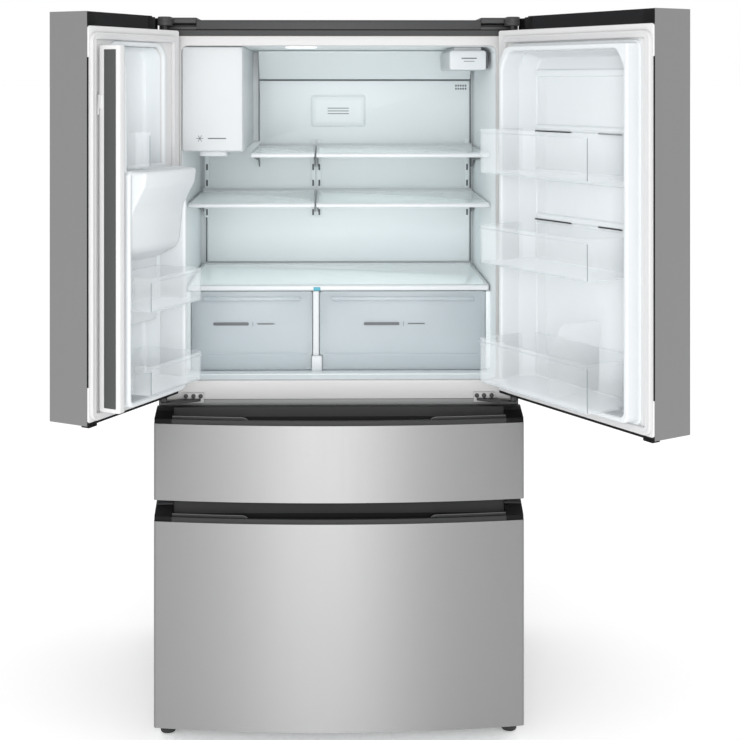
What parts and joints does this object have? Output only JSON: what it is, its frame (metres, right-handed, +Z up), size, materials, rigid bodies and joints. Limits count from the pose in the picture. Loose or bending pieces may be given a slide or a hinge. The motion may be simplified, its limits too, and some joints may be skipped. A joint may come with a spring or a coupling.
{
  "type": "french door refrigerator",
  "caption": "Free-standing refrigerator with hinged upper doors of unequal width over two full-width drawers, modelled with the doors open.",
  "frame": {"origin": "middle of the footprint's bounding box, on the floor, with the doors open as modelled", "axes": "+Z up, +Y from the front to the back, +X to the right as seen from the front"},
  "size_m": [1.4296, 1.1912, 1.796],
  "materials": {
    "steel_front": "vertically brushed stainless steel",
    "painted_cabinet": "grey painted sheet steel, fine orange peel",
    "dark_plastic": "charcoal moulded plastic",
    "white_plastic": "white moulded plastic, soft gloss",
    "clear_plastic": "clear moulded plastic",
    "crisper_plastic": "frosted blue-grey clear plastic",
    "shelf_glass": "clear tempered glass with white edge trim",
    "grey_steel": "grey coated steel",
    "rigid_foam": "rigid polyurethane foam",
    "door_seal": "light grey flexible seal",
    "black_iron": "black enamelled iron",
    "bare_aluminium": "bare fins and tube",
    "black_rubber": "black rubber and plastic"
  },
  "bodies": {
    "cabinet": {"cabinet_wrapper": "painted_cabinet", "ceiling_light": "clear_plastic", "center_hinge_left": "grey_steel", "center_hinge_right": "grey_steel", "compressor": "black_iron", "crisper_cover": "shelf_glass", "crisper_divider": "white_plastic", "cross_rail": "grey_steel", "evaporator": "bare_aluminium", "filter_housing": "white_plastic", "fresh_food_liner": "white_plastic", "front_foot_left": "black_rubber", "front_foot_right": "black_rubber", "ice_maker_housing": "white_plastic", "insulation_foam": "rigid_foam", "lower_liner": "white_plastic", "lower_shelf_left": "shelf_glass", "lower_shelf_right": "shelf_glass", "machine_cover": "dark_plastic", "rear_air_duct": "white_plastic", "rear_panel": "painted_cabinet", "shelf_ladder": "grey_steel", "top_cover": "dark_plastic", "top_hinge_left": "grey_steel", "top_hinge_right": "grey_steel", "upper_shelf_left": "shelf_glass", "upper_shelf_right": "shelf_glass"},
    "left_door": {"left_door_skin": "steel_front", "left_door_frame": "dark_plastic", "left_door_liner": "white_plastic", "left_door_gasket": "door_seal", "dispenser_tower": "white_plastic", "dispenser_niche": "dark_plastic", "left_bin_upper": "clear_plastic", "left_bin_middle": "clear_plastic", "left_bin_lower": "clear_plastic"},
    "mullion": {"mullion_bar": "white_plastic"},
    "paddle": {"dispenser_paddle": "dark_plastic"},
    "right_door": {"right_door_skin": "steel_front", "right_door_frame": "dark_plastic", "right_door_liner": "white_plastic", "right_door_gasket": "door_seal", "right_bin_upper": "clear_plastic", "right_bin_middle": "clear_plastic", "right_bin_lower": "clear_plastic"},
    "flex_drawer": {"flex_front_skin": "steel_front", "flex_handle": "dark_plastic", "flex_inner_panel": "white_plastic", "flex_bin": "crisper_plastic"},
    "freezer_drawer": {"freezer_front_skin": "steel_front", "freezer_handle": "dark_plastic", "freezer_inner_panel": "white_plastic", "freezer_basket": "crisper_plastic"},
    "upper_basket": {"freezer_upper_basket": "crisper_plastic"},
    "crisper_drawer_left": {"crisper_left": "crisper_plastic"},
    "crisper_drawer_right": {"crisper_right": "crisper_plastic"},
    "ice_drawer": {"ice_bin": "white_plastic"},
    "cooling_fan": {"evaporator_fan": "dark_plastic"},
    "machine_fan": {"condenser_fan": "dark_plastic"},
    "rollers": {"rear_rollers": "black_rubber"}
  },
  "joints": [
    {"name": "left_door_swing", "type": "hinge", "parent": "cabinet", "child": "left_door", "pos_m": [-0.48392, -0.13441, 1.3], "axis": [0, 0, -1], "range_deg": [-117.76, 3.12]},
    {"name": "right_door_swing", "type": "hinge", "parent": "cabinet", "child": "right_door", "pos_m": [0.38008, -0.13441, 1.3], "axis": [0, 0, 1], "range_deg": [-120.88, 0]},
    {"name": "mullion_fold", "type": "hinge", "parent": "left_door", "child": "mullion", "pos_m": [-0.60443, -0.43316, 1.3], "axis": [0, 0, 1], "range_deg": [-90, 0]},
    {"name": "paddle_press", "type": "hinge", "parent": "left_door", "child": "paddle", "pos_m": [-0.57674, -0.27427, 1.345], "axis": [-0.4658, -0.8849, 0], "range_deg": [0, 5], "stiffness_Nm_per_rad": 0.5},
    {"name": "flex_drawer_slide", "type": "slide", "parent": "cabinet", "child": "flex_drawer", "axis": [0, -1, 0], "range_m": [0, 0.4]},
    {"name": "freezer_drawer_slide", "type": "slide", "parent": "cabinet", "child": "freezer_drawer", "axis": [0, -1, 0], "range_m": [0, 0.42]},
    {"name": "upper_basket_slide", "type": "slide", "parent": "freezer_drawer", "child": "upper_basket", "axis": [0, -1, 0], "range_m": [-0.19, 0]},
    {"name": "crisper_left_slide", "type": "slide", "parent": "cabinet", "child": "crisper_drawer_left", "axis": [0, -1, 0], "range_m": [0, 0.22]},
    {"name": "crisper_right_slide", "type": "slide", "parent": "cabinet", "child": "crisper_drawer_right", "axis": [0, -1, 0], "range_m": [0, 0.22]},
    {"name": "ice_bin_slide", "type": "slide", "parent": "cabinet", "child": "ice_drawer", "axis": [0, -1, 0], "range_m": [0, 0.3]},
    {"name": "evaporator_fan_spin", "type": "hinge", "parent": "cabinet", "child": "cooling_fan", "pos_m": [-0.05192, 0.44359, 0.628], "axis": [0, 1, 0], "continuous": true},
    {"name": "condenser_fan_spin", "type": "hinge", "parent": "cabinet", "child": "machine_fan", "pos_m": [0.00008, 0.46559, 0.15], "axis": [1, 0, 0], "continuous": true},
    {"name": "rear_rollers_roll", "type": "hinge", "parent": "cabinet", "child": "rollers", "pos_m": [-0.05192, 0.54559, 0.018], "axis": [1, 0, 0], "continuous": true}
  ]
}
